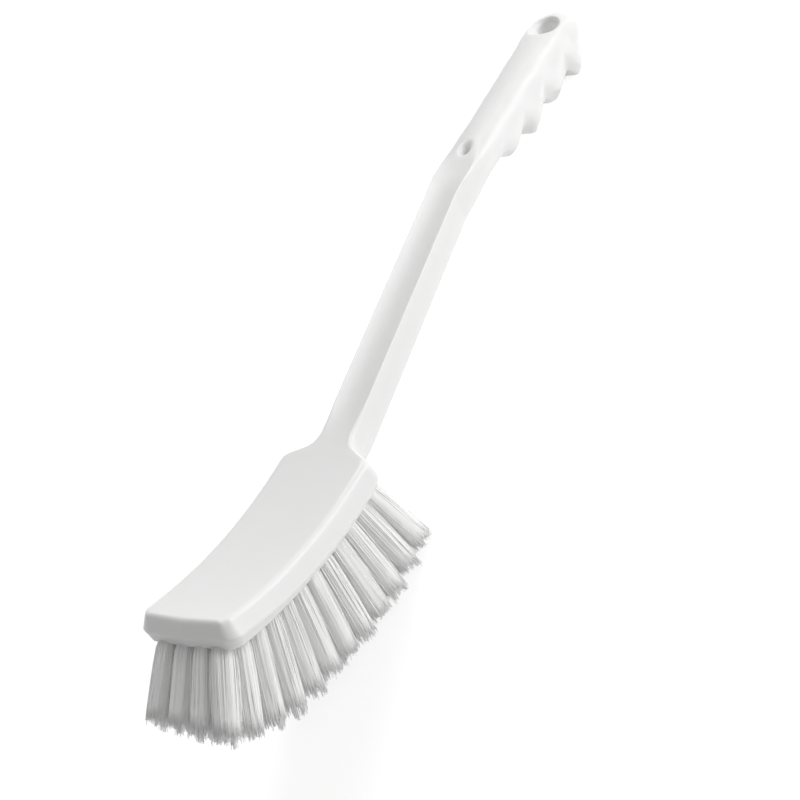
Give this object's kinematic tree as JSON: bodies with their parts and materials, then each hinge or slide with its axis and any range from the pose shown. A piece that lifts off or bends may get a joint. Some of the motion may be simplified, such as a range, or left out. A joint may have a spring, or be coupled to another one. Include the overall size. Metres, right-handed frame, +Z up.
{
  "type": "stem brush",
  "caption": "Long-handled moulded brush with a curved head of fanned bristle tufts, a raised stem, a finger-ridged grip and a hanging hole.",
  "frame": {"origin": "middle of the bounding box in plan, on the table that the brush lies on", "axes": "+X along the brush from the front of the head to the end of the grip, +Y across it, +Z up from the table"},
  "size_m": [0.4192, 0.0552, 0.1065],
  "materials": {
    "white_moulded_plastic": "semi-gloss injection-moulded polypropylene",
    "white_filament": "slightly translucent polyester filament, trimmed ends"
  },
  "bodies": {
    "root": {"moulded_body": "white_moulded_plastic", "tuft_row01_column1": "white_filament", "tuft_row01_column2": "white_filament", "tuft_row01_column3": "white_filament", "tuft_row01_column4": "white_filament", "tuft_row02_column1": "white_filament", "tuft_row02_column2": "white_filament", "tuft_row02_column3": "white_filament", "tuft_row02_column4": "white_filament", "tuft_row03_column1": "white_filament", "tuft_row03_column2": "white_filament", "tuft_row03_column3": "white_filament", "tuft_row03_column4": "white_filament", "tuft_row04_column1": "white_filament", "tuft_row04_column2": "white_filament", "tuft_row04_column3": "white_filament", "tuft_row04_column4": "white_filament", "tuft_row05_column1": "white_filament", "tuft_row05_column2": "white_filament", "tuft_row05_column3": "white_filament", "tuft_row05_column4": "white_filament", "tuft_row06_column1": "white_filament", "tuft_row06_column2": "white_filament", "tuft_row06_column3": "white_filament", "tuft_row06_column4": "white_filament", "tuft_row07_column1": "white_filament", "tuft_row07_column2": "white_filament", "tuft_row07_column3": "white_filament", "tuft_row07_column4": "white_filament", "tuft_row08_column1": "white_filament", "tuft_row08_column2": "white_filament", "tuft_row08_column3": "white_filament", "tuft_row08_column4": "white_filament", "tuft_row09_column1": "white_filament", "tuft_row09_column2": "white_filament", "tuft_row09_column3": "white_filament", "tuft_row09_column4": "white_filament", "tuft_row10_column1": "white_filament", "tuft_row10_column2": "white_filament", "tuft_row10_column3": "white_filament", "tuft_row10_column4": "white_filament", "tuft_row11_column1": "white_filament", "tuft_row11_column2": "white_filament", "tuft_row11_column3": "white_filament", "tuft_row11_column4": "white_filament", "tuft_row12_column1": "white_filament", "tuft_row12_column2": "white_filament", "tuft_row12_column3": "white_filament", "tuft_row12_column4": "white_filament"}
  },
  "joints": []
}
